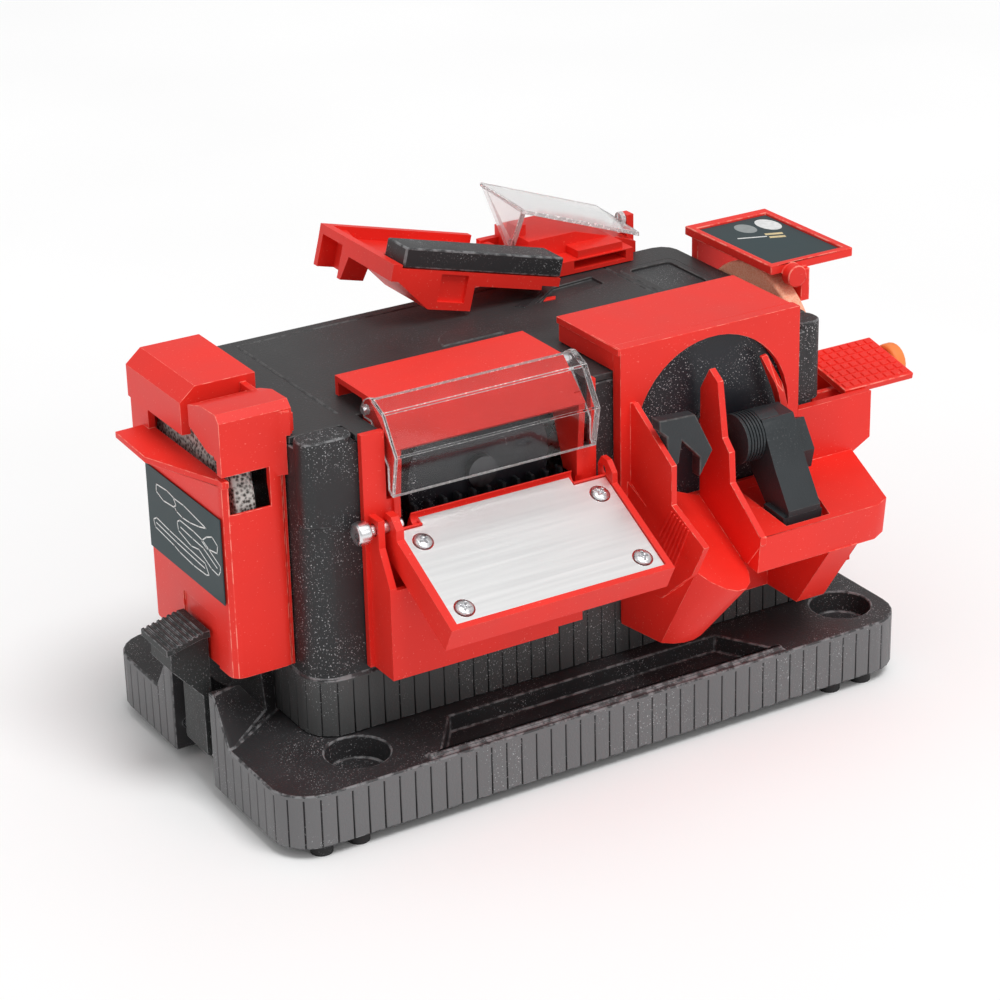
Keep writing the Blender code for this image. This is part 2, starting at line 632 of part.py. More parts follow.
def drill_housing():
    shape = box((179, 33, 98), (271, 38.6, 168.2))
    join(shape, box((178, 33.1, 165.2), (270, 81, 168.1)))
    join(shape, box((179.1, 34, 156.8), (182, 80.9, 167)), box((268, 34, 156.8), (270.9, 80.9, 167)))
    join(shape, box((182, 33.2, 40), (302, 38, 112)))
    join(shape, prism("y", 33.1, 37.3, [(250, 90), (302, 93), (311, 98), (311, 120), (250, 120)]))
    tray = [(221, 36), (219.2, -12.5), (281, -12.5), (288, -9), (302, 36)]
    join(shape, drill_slope(tray, -17, 0))
    join(shape, prism("x", 256.3, 271.2, [(-11, 73), (11.5, 40), (36, 40), (36, 73)]))
    # the channel left of the tray, with its round nose and the leg below it
    top = [(182, 36)] + arc((201.5, 0), 17.5, 218, 340, 6) + [(220, 10), (221, 36)]
    low = [(181, 36)] + arc((196, 20), 14, 218, 340, 6) + [(212, 26), (221, 36)]
    rings = [[(x, y, 40) for x, y in low], [(x, y, channel_floor(x, y)) for x, y in top]]
    join(shape, solid(rings))
    fin = [(34, 60), (34, 143), (31, 143.7), (2.4, 125.3), (2.3, 107.8), (-21.4, 97.3), (-12.9, 81.8),
           (10, 62)]
    join(shape, prism("x", 184, 186.6, fin))
    wall = [(34, 80), (34, 140), (26, 153), (20, 149), (18, 137), (16, 125), (11, 120), (10, 106.4),
            (-12.4, 89.1), (-12.4, 86), (-3, 74), (10, 74)]
    join(shape, prism("x", 219, 222, wall))
    edge = [(249.5, 31, 150), (252.5, 31, 150.5), (259.5, 26, 134), (263.5, 25.5, 121), (269, 27.5, 96),
            (265, 27.5, 90), (260.5, 25.5, 120), (256.5, 26, 133)]
    join(shape, solid([edge, [(x, 34, z) for x, y, z in edge]]))
    cut(shape, rod("y", (DRILL_X, 0, SHAFT_Z), 42.5, 36.3, 45, 48))
    opening = rod("y", (DRILL_X, 0, SHAFT_Z), 39.5, 32.6, 45, 48)
    cut(opening, box((180, 20, 60), (270, 50, 93)))
    cut(shape, opening)
    # pocket for the guide's tab
    cut(shape, drill_slope([(235, 32), (235, -9), (257.5, -9), (264, 12), (264, 32)], -4.5, 60))
    return node("drill_housing", shape, red_plastic())


def drill_v_block():
    outline = [(183, 143), (201, 142), (210, 124), (203.3, 113), (203.5, 122), (194.4, 131.5), (193, 122),
               (189, 120), (187, 127), (187, 135), (183.5, 138)]
    return node("drill_v_block", prism("y", 10, 16, outline), black_plastic())


def drill_guide():
    y, z = GUIDE_AXIS
    neck = [(30, 121), (26, 130), (15, 129), (5, 110), (-5.4, 94), (-5.4, 87), (8, 88.5), (22, 104)]
    shape = prism("x", 238.5, 255, neck)
    join(shape, rod("x", (0, y, z), 11, 229, 248, 28))
    join(shape, prism("x", 251, 263, [(26, 121), (18, 124), (10, 112), (12, 103), (22, 106)]))
    join(shape, drill_slope([(236, 9), (236, -5.5), (256, -5.5), (256, 9)], -4.2, 1.5))
    return node("drill_guide", shape, black_plastic(), (245, y, z))


# ---------------------------------------------------------------- right station

def right_guard():
    shape = box((289.8, 48, 76), (311, 142, 118))
    cut(shape, box((280, 51, 79), (308, 139, 130)))
    join(shape, box((289.8, 137, 76), (311, 142, 168)))
    join(shape, box((286, 75, 166.3), (331, 142, 168.5)))
    rim = box((286, 75, 167), (331, 142, 170.5))
    cut(rim, box((289, 78.5, 168), (327.5, 136.5, 180)))
    join(shape, rim)
    join(shape, box((300.5, 72, 152), (305, 120, 167)))
    join(shape, rod("y", (297, 0, 165), 5, 70, 75.5, 20))
    join(shape, box((304, 137, 150), (326, 142, 168)))
    return node("right_guard", shape, red_plastic())


def right_label():
    shape = box((289.5, 79, 168.9), (327, 136, 169.6))
    return node("right_label", shape, slate_label())


def right_tray():
    shape = box((300, 38, 118), (338, 71, 121))
    join(shape, box((304, 39, 110), (310.7, 45.5, 119)))
    tilt(shape, "x", 12, (0, 38, 118))
    return node("right_tray", shape, red_plastic(), (311, *RIGHT_TRAY_PIVOT))


def clamp_knob():
    profile = [(7.5, 338.5), (8.5, 339.5), (8.5, 344), (7.5, 345)]
    return node("clamp_knob", turned("x", (0, 59, 118.5), profile, 24), orange_plastic(), (340, 59, 118.5))


# ---------------------------------------------------------------- rear station

def rear_housing():
    top = [(200, 84), (271, 84), (271, 161), (256, 166.5), (238, 172), (213, 172), (213, 157.2),
           (200, 157.2)]
    shape = prism("y", 160.2, 190, top)
    join(shape, box((213, 148.6, 156.8), (262, 161, 163)))
    join(shape, box((233, 150, 162.9), (257, 180, 166.5)))
    cut(shape, box((203, 164, 87), (268, 200, 156)))
    cut(shape, box((230, 145, 158.5), (258, 160.1, 162.6)))
    cut(shape, rod("y", (DRILL_X, 0, SHAFT_Z), 8, 150, 170, 24))
    # the visor's lugs
    y, z = REAR_VISOR_PIVOT
    lug = [(y - 5, 158), (y - 5, 177), (y + 3, 177), (y + 8, 158)]
    join(shape, prism("x", 213.1, 217, lug))
    join(shape, prism("x", 273.3, 277, [(y - 3, 150), (y - 3, z + 2), (y + 3, z + 2), (y + 3, 150)]))
    join(shape, box((265, y - 2.9, 150.1), (277.1, y + 2.9, 160)))
    cut(shape, rod("x", (0, y, z), 1.9, 205, 218, 16), rod("x", (0, y, z), 1.9, 272, 280, 16))
    # the ears that carry the rest, with their pins
    x, z = REST_HINGE
    for low, high, pin_low, pin_high in ((148.7, 151.6, 151, 155), (186.4, 189.9, 183, 187)):
        join(shape, box((203, low, 157.3), (213.5, high, 167)))
        join(shape, rod("y", (x, 0, z), 1.5, pin_low, pin_high, 12))
    return node("rear_housing", shape, red_plastic())


def rear_visor():
    y, z = REAR_VISOR_PIVOT
    high = [(160, 186), (160, 188), (197, 191), (197, 189)]
    low = [(160, 163), (160, 165), (197, 168), (197, 166)]
    sheet = solid([[(209.8, *p) for p in high], [(273, *p) for p in low]])
    left_end = [(160.4, 187), (196, 189.8), (y + 3.5, z), (y, z - 3.5), (y - 3.5, z)]
    right_end = [(160.4, 164.5), (196, 167.4), (y + 3, z - 3), (y - 3, z - 3.5)]
    join(sheet, prism("x", 209.8, 212.6, left_end), prism("x", 270.4, 272.9, right_end))
    join(sheet, rod("x", (0, y, z), 3.2, 270.4, 272.9, 16))
    join(sheet, rod("x", (0, y, z), 1.6, 212, 216, 12), rod("x", (0, y, z), 1.6, 272, 276, 12))
    return node("rear_visor", sheet, clear_plastic(), (235, y, z))


def rest_tilt(shape):
    x, z = REST_CORNER
    return tilt(shape, "y", REST_TILT, (x, 0, z))


def rear_rest():
    shape = box((124, 130, 157.5), (202, 197, 165))
    join(shape, box((200, 130, 159.5), (211, 147.5, 163.4)))
    cut(shape, box((128.5, 120, 163.4), (230, 147.7, 170)))
    cut(shape, box((128.5, 151, 159.5), (230, 193.5, 170)))
    join(shape, prism("y", 130, 168, [(126, 158.5), (145, 146), (149, 146), (149, 158.5)]))
    join(shape, box((145, 130.1, 146.1), (167, 135, 162)))
    cut(shape, box((149, 120, 149.5), (163, 131.8, 162)))
    join(shape, prism("x", 124.1, 136, [(168, 158), (172, 146), (196.9, 146), (196.9, 164)]))
    cut(shape, box((120, 175, 140), (132.5, 193.5, 161)))
    join(shape, box((200, 153, 157.6), (208, 185, 160.4)))
    rest_tilt(shape)
    x, z = REST_HINGE
    join(shape, rod("y", (x, 0, z), 3.2, 152.2, 185.8, 20))
    cut(shape, rod("y", (x, 0, z), 1.8, 140, 200, 16))
    return node("rear_rest", shape, red_plastic(), (x, 170, z))


def rear_bar():
    x, z = REST_HINGE
    shape = rest_tilt(box((129, 130.3, 163.7), (211, 147.4, 172.7)))
    return node("rear_bar", shape, black_plastic(), (x, 170, z))


# ---------------------------------------------------------------- rear wall fittings

SWITCH_PIVOT = (158.0, 81.0)


def power_switch():
    bezel = box((60, 150, 70), (90, 161.4, 92))
    cut(bezel, box((64, 140, 73), (86, 170, 89)))
    join(bezel, box((64, 150.5, 73), (86, 152, 89)))
    node("switch_bezel", bezel, black_plastic())
    y, z = SWITCH_PIVOT
    face = [(153, 78), (153, 84), (160, 87.6), (162.5, 88), (160.8, 81), (161.2, 73.6), (160, 74)]
    node("switch_rocker", prism("x", 64.5, 85.5, face), red_plastic(), (75, y, z))


def cord_gland():
    profile = [(3.6, 152), (6, 152), (6, 159.9), (8, 160.1), (8, 163), (5.5, 172), (3.6, 172)]
    node("cord_gland", turned("y", (115, 0, 60), profile, 20, True), rubber())


def build():
    for old in list(bpy.data.objects):
        bpy.data.objects.remove(old)
    base_plate()
    feet()
    release_lever()
    lever_pin()
    lever_spring()
    main_housing()
    top_cover()
    motor()
    drive_train()
    wheels()
    knife_module()
    knife_label()
    chisel_housing()
    chisel_tray()
    steel_plate()
    plate_screws()
    tray_bolt()
    chisel_visor()
    drill_housing()
    drill_v_block()
    drill_guide()
    right_guard()
    right_label()
    right_tray()
    clamp_knob()
    rear_housing()
    rear_visor()
    rear_rest()
    rear_bar()
    power_switch()
    cord_gland()


build()
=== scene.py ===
"""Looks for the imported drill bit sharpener: detailed pieces, materials, light and camera.

Helper lengths are millimetres from the base's front left bottom corner, as in the CAD source: x to
the right, y to the back and z up. at() turns them into the frame's metres.
"""
import json
import math

import bmesh
import bpy
from mathutils import Matrix, Vector

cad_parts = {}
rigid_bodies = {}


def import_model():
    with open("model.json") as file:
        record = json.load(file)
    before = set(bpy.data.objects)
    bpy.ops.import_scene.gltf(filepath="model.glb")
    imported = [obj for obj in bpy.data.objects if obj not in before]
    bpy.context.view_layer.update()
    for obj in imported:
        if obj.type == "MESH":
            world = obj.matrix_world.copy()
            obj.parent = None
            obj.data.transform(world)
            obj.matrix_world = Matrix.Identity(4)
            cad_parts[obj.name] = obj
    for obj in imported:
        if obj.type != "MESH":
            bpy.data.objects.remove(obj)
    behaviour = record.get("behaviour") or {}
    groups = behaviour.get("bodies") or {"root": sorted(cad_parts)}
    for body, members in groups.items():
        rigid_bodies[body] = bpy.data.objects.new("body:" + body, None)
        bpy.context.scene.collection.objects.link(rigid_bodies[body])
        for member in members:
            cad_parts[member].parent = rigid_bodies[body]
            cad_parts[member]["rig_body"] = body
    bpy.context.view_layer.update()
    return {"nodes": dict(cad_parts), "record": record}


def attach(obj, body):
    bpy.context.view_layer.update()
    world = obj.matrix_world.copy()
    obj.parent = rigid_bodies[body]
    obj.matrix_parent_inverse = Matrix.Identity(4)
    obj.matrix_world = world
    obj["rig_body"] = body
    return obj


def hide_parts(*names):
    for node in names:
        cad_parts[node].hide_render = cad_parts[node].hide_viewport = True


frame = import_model()

MM = 0.001
MIDDLE_X = 164.75                        # the frame's origin, seen from the base's corner
MIDDLE_Y = 87.8
FOOT_DROP = 5.0                          # the feet reach this far below the base
STEP = 0.16                              # mesh steps smaller than this close before a bevel
FINE_STEP = 0.002                        # the same for the thin steel plate
PLATE_TILT = 27.6                        # the steel plate and its screws lean by this angle
PLATE_BACK = (29.0, 114.5)               # y and z of the line that the plate leans about
SIDE_TILT = 12.0                         # the same two for the right tray
SIDE_TURN = (38.0, 118.0)
BASE_SPAN = (0.0, 310.0, 0.0, 172.0)     # left, right, front and back of the base
BASE_CORNER = 18.0                       # radius of its corners
SKIRT_SPAN = (33.4, 289.5, 38.0, 161.0)  # the same two for the housing's skirt
SKIRT_CORNER = 14.0
BASE_RIB_TOP = 0.0290                    # metres above the bench, where the ribbed walls end
SKIRT_RIB_TOP = 0.0555
BLOCK_RIGHT = (33.0 - MIDDLE_X) * MM     # end and top of the base's raised block, in metres
BLOCK_TOP = (43.0 + FOOT_DROP) * MM
COVER_TOP = 156.0
RIGHT_LABEL_TOP = 169.6
LEFT_LABEL_FACE = 4.2                    # x of the left label's face


def at(point):
    """A point of the CAD source, in metres in the frame."""
    x, y, z = point
    return Vector(((x - MIDDLE_X) * MM, (y - MIDDLE_Y) * MM, (z + FOOT_DROP) * MM))


# ---------------------------------------------------------------- materials

class Nodes:
    """Short calls for wiring one material."""

    def __init__(self, name):
        self.material = bpy.data.materials.new(name)
        self.material.use_nodes = True
        self.tree = self.material.node_tree
        self.shader = self.tree.nodes["Principled BSDF"]
        self.place = self.add("ShaderNodeTexCoord").outputs["Object"]

    def add(self, kind):
        return self.tree.nodes.new(kind)

    def link(self, source, target):
        self.tree.links.new(source, target)

    def noise(self, scale, detail=2.0, roughness=0.5, vector=None):
        made = self.add("ShaderNodeTexNoise")
        made.inputs["Scale"].default_value = scale
        made.inputs["Detail"].default_value = detail
        made.inputs["Roughness"].default_value = roughness
        self.link(vector or self.place, made.inputs["Vector"])
        return made.outputs["Fac"]

    def ramp(self, value, *stops):
        made = self.add("ShaderNodeValToRGB")
        band = made.color_ramp
        while len(band.elements) < len(stops):
            band.elements.new(0.5)
        for element, (place, colour) in zip(band.elements, stops):
            element.position = place
            element.color = (*colour, 1.0)
        self.link(value, made.inputs["Fac"])
        return made.outputs["Color"]

    def math(self, operation, first, second=None):
        made = self.add("ShaderNodeMath")
        made.operation = operation
        for socket, value in zip(made.inputs, (first, second)):
            if value is None:
                continue
            if isinstance(value, (int, float)):
                socket.default_value = value
            else:
                self.link(value, socket)
        return made.outputs["Value"]

    def mix(self, factor, first, second):
        made = self.add("ShaderNodeMix")
        made.data_type = "RGBA"
        sockets = (made.inputs[0], made.inputs[6], made.inputs[7])      # factor and both colours
        for socket, value in zip(sockets, (factor, first, second)):
            if isinstance(value, tuple):
                socket.default_value = (*value, 1.0)
            else:
                self.link(value, socket)
        return made.outputs[2]

    def smooth(self, value, low, high):
        made = self.add("ShaderNodeMapRange")
        made.interpolation_type = "SMOOTHSTEP"
        made.inputs["From Min"].default_value = low
        made.inputs["From Max"].default_value = high
        self.link(value, made.inputs["Value"])
        return made.outputs["Result"]

    def bump(self, height, distance, strength=1.0):
        made = self.add("ShaderNodeBump")
        made.inputs["Distance"].default_value = distance
        made.inputs["Strength"].default_value = strength
        self.link(height, made.inputs["Height"])
        return made.outputs["Normal"]

    def split(self):
        made = self.add("ShaderNodeSeparateXYZ")
        self.link(self.place, made.inputs[0])
        return made.outputs

    def finish(self, colour, roughness, normal=None):
        self.link(colour, self.shader.inputs["Base Color"])
        self.link(roughness, self.shader.inputs["Roughness"])
        if normal is not None:
            self.link(normal, self.shader.inputs["Normal"])
        return self.material


def span(n, value, low, high):
    """A roughness that wanders between two values."""
    made = n.add("ShaderNodeMapRange")
    made.inputs["From Min"].default_value = 0.3
    made.inputs["From Max"].default_value = 0.7
    made.inputs["To Min"].default_value = low
    made.inputs["To Max"].default_value = high
    n.link(value, made.inputs["Value"])
    return made.outputs["Result"]


def red_plastic(name="red_moulded", colour=(0.90, 0.027, 0.016)):
    """Grained bright plastic with a few pale flecks."""
    def light(share):
        return tuple(c * share for c in colour)

    n = Nodes(name)
    broad = n.noise(22, 3)
    fine = n.noise(1500, 2, 0.6)
    body = n.ramp(broad, (0.3, light(0.88)), (0.7, light(1.0)))
    flecks = n.smooth(n.noise(1100, 1), 0.70, 0.76)
    body = n.mix(n.math("MULTIPLY", flecks, 0.35), body, (1.0, 0.30, 0.22))
    n.shader.inputs["Specular IOR Level"].default_value = 0.35
    return n.finish(body, span(n, broad, 0.40, 0.52), n.bump(fine, 0.00006, 0.55))


def past_straight(n, value, middle, half):
    """How far a place lies past the straight part of a rounded rectangle's side, along one axis."""
    return n.math("SUBTRACT", n.math("ABSOLUTE", n.math("SUBTRACT", value, middle)), half)


def outside(n, x, y, middle_x, middle_y, half_x, half_y, radius):
    """1 on a rounded rectangle's own walls and outside it, 0 further in; all in metres."""
    skin = 0.0004
    deep_x = past_straight(n, x, middle_x, half_x - radius)
    deep_y = past_straight(n, y, middle_y, half_y - radius)
    deep_x = n.math("MAXIMUM", deep_x, 0.0)
    deep_y = n.math("MAXIMUM", deep_y, 0.0)
    squares = n.math("ADD", n.math("MULTIPLY", deep_x, deep_x), n.math("MULTIPLY", deep_y, deep_y))
    return n.math("GREATER_THAN", n.math("SQRT", squares), radius - skin)


def black_plastic(name, colour, flecks, low, high, ribs=None):
    """Dark grained plastic with pale flecks; low and high bound its roughness.

    ribs is (top, wall colour, outline) of the fluted walls, which are paler than the rest.
    """
    n = Nodes(name)
    broad = n.noise(30, 3)
    darker = tuple(c * 0.72 for c in colour)
    body = n.ramp(broad, (0.3, darker), (0.7, colour))
    dots = n.smooth(n.noise(1500, 1.5, 0.6), 0.63, 0.70)
    patches = n.smooth(n.noise(35, 2), 0.38, 0.62)
    amount = n.math("MULTIPLY", n.math("MULTIPLY", dots, patches), 0.75 * flecks)
    body = n.mix(amount, body, (0.55, 0.55, 0.56))
    height = n.noise(800, 3, 0.65)
    normal = n.bump(height, 0.00022, 0.6)
    if ribs is not None:
        top, wall_colour, outline = ribs
        x, y, z = n.split()
        facing = n.add("ShaderNodeNewGeometry").outputs["True Normal"]
        parts = n.add("ShaderNodeSeparateXYZ")
        n.link(facing, parts.inputs[0])
        wall = n.math("LESS_THAN", n.math("ABSOLUTE", parts.outputs[2]), 0.35)
        on_block = n.math("LESS_THAN", x, BLOCK_RIGHT)
        raised = n.math("MULTIPLY", on_block, n.math("LESS_THAN", z, BLOCK_TOP))
        below = n.math("MAXIMUM", n.math("LESS_THAN", z, top), raised)
        fluted = n.math("MULTIPLY", n.math("MULTIPLY", wall, below), outside(n, x, y, *outline))
        body = n.mix(n.math("MULTIPLY", fluted, n.math("SUBTRACT", 0.85, amount)), body, wall_colour)
    n.shader.inputs["Specular IOR Level"].default_value = 0.38
    return n.finish(body, span(n, broad, low, high), normal)


def metal(name, light=(0.86, 0.86, 0.87), dark=(0.70, 0.70, 0.72), low=0.22, high=0.36,
          stretch=(1, 1, 1)):
    """Metal with fine streaks, which stretch draws out along an axis."""
    n = Nodes(name)
    mapping = n.add("ShaderNodeMapping")
    mapping.inputs["Scale"].default_value = stretch
    n.link(n.place, mapping.inputs["Vector"])
    streaks = n.noise(300, 3, 0.6, mapping.outputs["Vector"])
    broad = n.noise(25, 2)
    streaked = n.ramp(streaks, (0.3, dark), (0.7, light))
    colour = n.mix(n.math("MULTIPLY", broad, 0.4), streaked, light)
    n.shader.inputs["Metallic"].default_value = 1.0
    return n.finish(colour, span(n, streaks, low, high), n.bump(streaks, 0.00001, 0.25))


def abrasive(name, light, dark, scale=700, roughness=(0.65, 0.9), depth=0.0005):
    """Bonded grit: pale grains between dark pores."""
    n = Nodes(name)
    cells = n.add("ShaderNodeTexVoronoi")
    cells.inputs["Scale"].default_value = scale
    n.link(n.place, cells.inputs["Vector"])
    grain = n.noise(scale * 1.6, 3, 0.7)
    pores = n.math("MULTIPLY", cells.outputs["Distance"], 0.8)
    amount = n.math("ADD", pores, n.math("MULTIPLY", grain, 0.6))
    colour = n.ramp(amount, (0.50, dark), (0.84, light))
    return n.finish(colour, span(n, grain, *roughness), n.bump(amount, depth, 0.9))


def clear_plastic():
    n = Nodes("clear_sheet")
    haze = n.noise(60, 3)
    scuffs = n.noise(900, 2)
    colour = n.ramp(haze, (0.3, (0.93, 0.95, 0.955)), (0.7, (0.97, 0.98, 0.985)))
    n.shader.inputs["Transmission Weight"].default_value = 1.0
    n.shader.inputs["IOR"].default_value = 1.30
    return n.finish(colour, span(n, haze, 0.015, 0.05), n.bump(scuffs, 0.00001, 0.2))


def frosted_plastic():
    n = Nodes("frosted_sheet")
    haze = n.noise(40, 3)
    colour = n.ramp(haze, (0.3, (0.93, 0.94, 0.94)), (0.7, (1.0, 1.0, 1.0)))
    n.shader.inputs["Transmission Weight"].default_value = 0.78
    n.shader.inputs["IOR"].default_value = 1.15
    return n.finish(colour, span(n, haze, 0.08, 0.16), n.bump(haze, 0.000004, 0.1))


def clear_edge_highlight():
    """The sheet's narrow faces and bevels, painted pale where they catch the light: a painted
    highlight.
    """
    n = Nodes("clear_edge_highlight")
    haze = n.noise(700, 3)
    colour = n.ramp(haze, (0.35, (0.80, 0.80, 0.80)), (0.65, (1.0, 1.0, 1.0)))
    n.shader.inputs["Transmission Weight"].default_value = 0.45
    return n.finish(colour, span(n, haze, 0.12, 0.35), n.bump(haze, 0.00005, 0.5))


def label_film():
    n = Nodes("label_film")
    broad = n.noise(40, 2)
    colour = n.ramp(broad, (0.3, (0.028, 0.046, 0.051)), (0.7, (0.034, 0.056, 0.062)))
    n.shader.inputs["Specular IOR Level"].default_value = 0.2
    return n.finish(colour, span(n, broad, 0.42, 0.5), n.bump(n.noise(900), 0.00002, 0.3))


def ink(name, colour):
    n = Nodes(name)
    broad = n.noise(500, 2)
    shade = n.ramp(broad, (0.3, tuple(c * 0.8 for c in colour)), (0.7, colour))
    return n.finish(shade, span(n, broad, 0.35, 0.5))


def rim_highlight(name, colour, highlight):
    """Moulded plastic along its edges, with a painted highlight that is paler in broken streaks."""
    n = Nodes(name)
    streaks = n.smooth(n.noise(260, 3, 0.6), 0.40, 0.60)
    broad = n.noise(40, 2)
    n.shader.inputs["Specular IOR Level"].default_value = 0.4
    # broken streaks of the painted highlight colour over the plastic's own colour
    shade = n.mix(streaks, colour, highlight)
    return n.finish(shade, span(n, broad, 0.36, 0.5), n.bump(streaks, 0.00004, 0.4))


def wound_copper():
    n = Nodes("copper_winding")
    streaks = n.noise(500, 3)
    colour = n.ramp(streaks, (0.3, (0.50, 0.20, 0.10)), (0.7, (0.80, 0.40, 0.22)))
    n.shader.inputs["Metallic"].default_value = 1.0
    return n.finish(colour, span(n, streaks, 0.3, 0.5), n.bump(streaks, 0.0002, 0.6))


def wall_outline(x0, x1, y0, y1, radius):
    """A rounded rectangle's middle, half sizes and corner radius, in the frame's metres."""
    return (((x0 + x1) / 2 - MIDDLE_X) * MM, ((y0 + y1) / 2 - MIDDLE_Y) * MM,
            (x1 - x0) / 2 * MM, (y1 - y0) / 2 * MM, radius * MM)


RED = red_plastic()
BASE_OUTLINE = wall_outline(*BASE_SPAN, BASE_CORNER)
SKIRT_OUTLINE = wall_outline(*SKIRT_SPAN, SKIRT_CORNER)
BASE = black_plastic("base_moulded", (0.034, 0.033, 0.035), 1.1, 0.38, 0.6,
                     (BASE_RIB_TOP, (0.17, 0.168, 0.172), BASE_OUTLINE))
SKIRT = black_plastic("housing_moulded", (0.030, 0.030, 0.032), 1.2, 0.4, 0.6,
                      (SKIRT_RIB_TOP, (0.085, 0.086, 0.086), SKIRT_OUTLINE))
COVER = black_plastic("cover_moulded", (0.044, 0.043, 0.044), 0.25, 0.42, 0.55)
SMOOTH_BLACK = black_plastic("smooth_black", (0.030, 0.036, 0.040), 0.12, 0.38, 0.48)
PAD = black_plastic("lever_moulded", (0.028, 0.030, 0.030), 0.4, 0.45, 0.6)
RUBBER = black_plastic("foot_rubber", (0.022, 0.021, 0.022), 0.2, 0.6, 0.8)
STEEL = metal("brushed_steel")
PLATE = metal("rest_plate", (0.98, 0.98, 0.975), (0.95, 0.95, 0.95), 0.30, 0.36, (0.04, 2, 2))
DARK_STEEL = metal("dark_steel", (0.10, 0.10, 0.105), (0.05, 0.05, 0.055), 0.35, 0.5)
PEBBLED = black_plastic("pebbled_black", (0.028, 0.028, 0.030), 1.6, 0.3, 0.5)
SPECKLED = black_plastic("speckled_disc", (0.018, 0.020, 0.026), 2.2, 0.3, 0.5)
GRIT = abrasive("grey_grit", (0.62, 0.61, 0.58), (0.05, 0.045, 0.04), 620)
DARK_GRIT = abrasive("dark_grit", (0.11, 0.115, 0.12), (0.012, 0.013, 0.016), 800)
PINK = abrasive("pink_stone", (1.0, 0.50, 0.33), (0.93, 0.36, 0.22), 1100, (0.7, 0.9), 0.0002)
CLEAR = clear_plastic()
FROSTED = frosted_plastic()
# painted highlight for the clear sheets' edges
SHEET_EDGE_HIGHLIGHT = clear_edge_highlight()
FILM = label_film()
WHITE_INK = ink("white_ink", (0.85, 0.86, 0.85))
GOLD_INK = ink("gold_ink", (0.75, 0.60, 0.32))
GREY_INK = ink("grey_ink", (0.30, 0.33, 0.33))
COPPER = wound_copper()
ORANGE = red_plastic("orange_moulded", (0.95, 0.26, 0.06))
# Paler colours painted on the bevels, standing for the highlights along the edges.
RED_RIM_HIGHLIGHT = rim_highlight("red_rim_highlight", (0.90, 0.045, 0.030), (0.98, 0.24, 0.18))
DARK_RIM_HIGHLIGHT = rim_highlight("dark_rim_highlight", (0.045, 0.045, 0.047), (0.20, 0.20, 0.205))
COVER_RIM_HIGHLIGHT = rim_highlight("cover_rim_highlight", (0.050, 0.049, 0.050), (0.10, 0.10, 0.10))
# The painted edge highlight that each plastic takes on its bevels.
RIM_HIGHLIGHTS = {RED.name: RED_RIM_HIGHLIGHT, SKIRT.name: DARK_RIM_HIGHLIGHT, BASE.name: DARK_RIM_HIGHLIGHT, COVER.name: COVER_RIM_HIGHLIGHT,
       SMOOTH_BLACK.name: COVER_RIM_HIGHLIGHT, PAD.name: DARK_RIM_HIGHLIGHT}

# Finishes by material slot, and the nodes that have one of their own.
FINISH = {"red_plastic": RED, "black_plastic": SMOOTH_BLACK, "grey_plastic": COVER, "rubber": RUBBER,
          "steel": STEEL, "copper": COPPER, "grit": DARK_GRIT, "pink_stone": PINK,
          "clear_plastic": CLEAR, "slate_label": FILM, "orange_plastic": ORANGE}
SLOT = {entry["node"]: entry["material_slot"] for entry in frame["record"]["subparts"]}
OWN_FINISH = {"drill_disc": SPECKLED, "chisel_disc": SPECKLED, "chisel_spindle": DARK_STEEL,
              "base_plate": BASE, "main_housing": SKIRT, "release_lever": PAD, "top_cover": COVER,
              "left_wheel": GRIT, "steel_plate": PLATE, "rear_bar": SKIRT, "switch_bezel": SKIRT,
              "rear_visor": FROSTED}


def finish_of(node):
    return OWN_FINISH.get(node) or FINISH[SLOT[node]]


# ---------------------------------------------------------------- shapes

def new_object(name, mesh, *finishes):
    """A piece in the scene; faces take the first finish unless they say otherwise."""
    piece = bpy.data.objects.new(name, mesh)
    bpy.context.scene.collection.objects.link(piece)
    mesh.materials.clear()
    for finish in finishes:
        mesh.materials.append(finish)
    return piece


def baked(bm, name):
    """Turn a bmesh's faces outward and store it as a mesh."""
    bmesh.ops.recalc_face_normals(bm, faces=bm.faces)
    mesh = bpy.data.meshes.new(name)
    bm.to_mesh(mesh)
    bm.free()
    return mesh


def walls(bm, low, high):
    """Side faces between two rings of as many points."""
    for i in range(len(low)):
        j = (i + 1) % len(low)
        bm.faces.new((low[i], low[j], high[j], high[i]))


def closed_box(bm, low, high):
    """The same with a floor and a lid."""
    walls(bm, low, high)
    bm.faces.new(high)
    bm.faces.new(low[::-1])


def to_space(axis, along, first, second):
    """A point from its place along an axis and its two other coordinates, in order."""
    if axis == "x":
        return (along, first, second)
    if axis == "y":
        return (first, along, second)
    return (first, second, along)


def rings_mesh(name, rings, closed=False):
    """A solid through a row of rings; a closed one joins its last ring to its first."""
    bm = bmesh.new()
    rows = [[bm.verts.new(at(p)) for p in ring] for ring in rings]
    pairs = list(zip(rows, rows[1:]))
    if closed:
        pairs.append((rows[-1], rows[0]))
    for low, high in pairs:
        walls(bm, low, high)
    if not closed:
        bm.faces.new(rows[0])
        bm.faces.new(rows[-1])
    return baked(bm, name)


def prism(name, axis, low, high, outline):
    """An outline drawn out along an axis, from low to high."""
    return rings_mesh(name, [[to_space(axis, a, *p) for p in outline] for a in (low, high)])


def block(name, low, high):
    (x0, y0, z0), (x1, y1, z1) = low, high
    return prism(name, "z", z0, z1, [(x0, y0), (x1, y0), (x1, y1), (x0, y1)])


